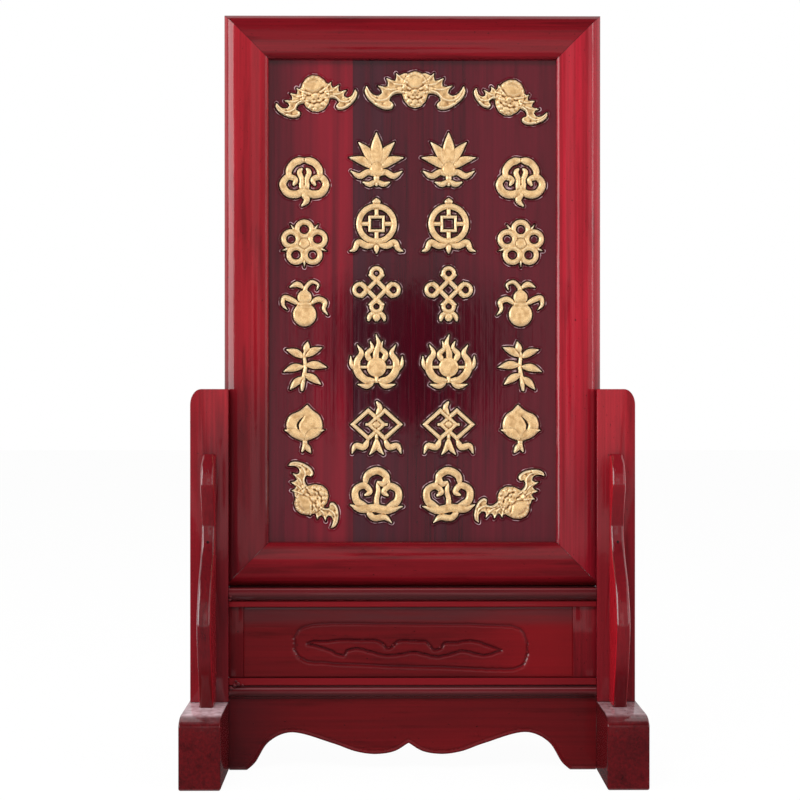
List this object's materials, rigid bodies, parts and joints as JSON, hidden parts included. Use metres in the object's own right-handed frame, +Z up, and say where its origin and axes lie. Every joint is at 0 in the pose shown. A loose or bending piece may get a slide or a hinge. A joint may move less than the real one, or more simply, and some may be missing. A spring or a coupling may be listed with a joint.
{
  "type": "ancestor tablet",
  "caption": "Framed tablet of red lacquered wood with gilt relief motifs, standing loose in the grooved posts of a low footed stand.",
  "frame": {"origin": "on the floor, under the middle of the stand", "axes": "+Z up the tablet, -Y towards the viewer of its gilt face, +X to that viewer's right"},
  "size_m": [0.284, 0.14, 0.4801],
  "materials": {
    "red_lacquer": "glossy red lacquer over wood, grain showing faintly through",
    "dark_lacquer": "glossy dark red lacquer over wood",
    "stained_panel": "dark red stained board with upright grain, semi-gloss",
    "gilt": "satin gilding over carved relief",
    "steel": "plain wire brad",
    "plain_wood": "bare wood, hidden in the joints"
  },
  "bodies": {
    "stand": {"foot_left": "red_lacquer", "foot_right": "red_lacquer", "post_left": "red_lacquer", "post_right": "red_lacquer", "spandrel_front_left": "red_lacquer", "spandrel_front_right": "red_lacquer", "spandrel_rear_left": "red_lacquer", "spandrel_rear_right": "red_lacquer", "upper_rail": "dark_lacquer", "lower_rail": "dark_lacquer", "waist_panel": "red_lacquer", "waist_stile_left": "red_lacquer", "waist_stile_right": "red_lacquer", "apron": "red_lacquer", "brad_front_left": "steel", "brad_front_right": "steel", "brad_rear_left": "steel", "brad_rear_right": "steel", "dowel_front_left": "plain_wood", "dowel_front_right": "plain_wood", "dowel_rear_left": "plain_wood", "dowel_rear_right": "plain_wood"},
    "tablet": {"frame_top_rail": "red_lacquer", "frame_bottom_rail": "red_lacquer", "frame_left_stile": "red_lacquer", "frame_right_stile": "red_lacquer", "tablet_panel": "stained_panel", "mitre_key_top_left": "plain_wood", "mitre_key_top_right": "plain_wood", "mitre_key_bottom_left": "plain_wood", "mitre_key_bottom_right": "plain_wood", "bat_top_centre": "gilt", "bat_top_left": "gilt", "bat_top_right": "gilt", "bat_bottom_left": "gilt", "bat_bottom_right": "gilt", "gilt_ruyi_cloud_left": "gilt", "gilt_ruyi_cloud_right": "gilt", "gilt_plum_blossom_left": "gilt", "gilt_plum_blossom_right": "gilt", "gilt_gourd_left": "gilt", "gilt_gourd_right": "gilt", "gilt_bamboo_spray_left": "gilt", "gilt_bamboo_spray_right": "gilt", "gilt_peach_left": "gilt", "gilt_peach_right": "gilt", "gilt_lotus_left": "gilt", "gilt_lotus_right": "gilt", "gilt_coin_left": "gilt", "gilt_coin_right": "gilt", "gilt_endless_knot_left": "gilt", "gilt_endless_knot_right": "gilt", "gilt_flaming_pearl_left": "gilt", "gilt_flaming_pearl_right": "gilt", "gilt_twin_lozenge_left": "gilt", "gilt_twin_lozenge_right": "gilt", "gilt_drifting_cloud_left": "gilt", "gilt_drifting_cloud_right": "gilt"}
  },
  "joints": [
    {"name": "tablet_lift", "type": "slide", "parent": "stand", "child": "tablet", "axis": [0, 0, 1], "range_m": [0, 0.14]}
  ]
}
